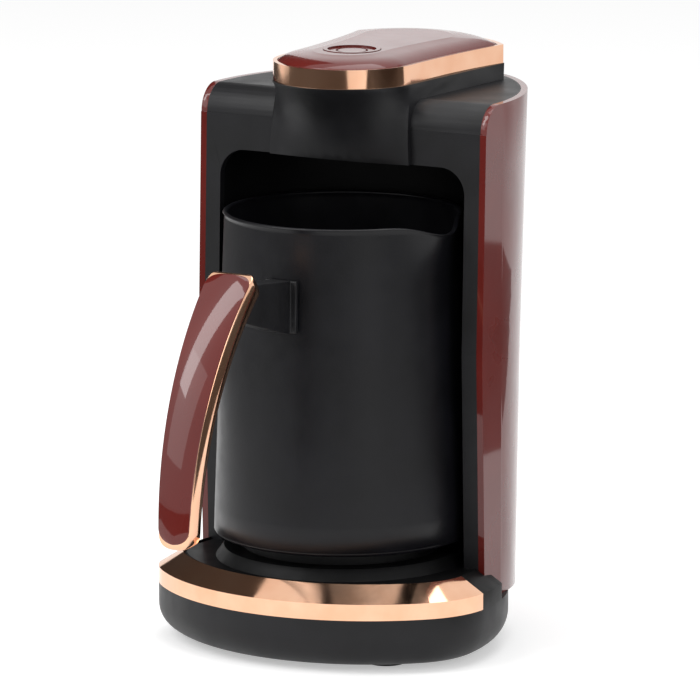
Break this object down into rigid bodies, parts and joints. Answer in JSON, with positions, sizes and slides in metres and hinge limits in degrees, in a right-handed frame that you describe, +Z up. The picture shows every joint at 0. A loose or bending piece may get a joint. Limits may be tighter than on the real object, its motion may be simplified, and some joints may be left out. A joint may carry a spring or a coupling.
{
  "type": "electric turkish coffee maker",
  "caption": "Electric Turkish coffee maker: a tall body with a niche, an oval base and a lift-out jug with a curved handle and a press button on the hood.",
  "frame": {"origin": "centre of the part's box on the ground plane, under the feet", "axes": "+Z up, -Y to the front where the handle and the niche are, +X to the right, the spout's side"},
  "size_m": [0.132, 0.2084, 0.2186],
  "materials": {
    "black_plastic": "fine satin grain",
    "burgundy": "high gloss",
    "rose_gold": "polished plating",
    "jug_coat": "satin non-stick coat",
    "rubber": "matt",
    "steel": "plain",
    "aluminium": "pressed",
    "brass": "plain",
    "board": "circuit board",
    "component_plastic": "plain",
    "lens_plastic": "clear dark lens"
  },
  "bodies": {
    "machine": {"base_shell": "black_plastic", "rubber_feet": "rubber", "bottom_screws": "steel", "trim_ring": "rose_gold", "base_deck": "black_plastic", "connector_post": "black_plastic", "contact_ring": "brass", "power_board": "board", "board_posts": "black_plastic", "power_parts": "component_plastic", "cord_gland": "rubber", "body_shell": "black_plastic", "niche_liner": "black_plastic", "wrap_panel": "burgundy", "boil_sensor": "lens_plastic", "hood_band": "rose_gold", "hood_top": "burgundy", "button_ring": "rose_gold", "button_boot": "rubber", "control_board": "board", "control_posts": "black_plastic", "tact_switch": "component_plastic", "buzzer": "component_plastic"},
    "jug": {"jug_vessel": "jug_coat", "jug_base": "jug_coat", "heater_plate": "aluminium", "heating_element": "steel", "thermostat": "steel", "jug_socket": "component_plastic", "handle_frame": "rose_gold", "handle_cover": "burgundy", "handle_core": "black_plastic", "handle_bracket": "black_plastic", "handle_rivets": "steel"},
    "button": {"button_cap": "burgundy"}
  },
  "joints": [
    {"name": "jug_lift", "type": "slide", "parent": "machine", "child": "jug", "axis": [0, -0.9703, 0.2419], "range_m": [0, 0.11]},
    {"name": "button_press", "type": "slide", "parent": "machine", "child": "button", "axis": [0, 0, -1], "range_m": [0, 0.0015], "stiffness_N_per_m": 300, "springref_m": -0.001, "deforming": ["button_boot"]}
  ]
}
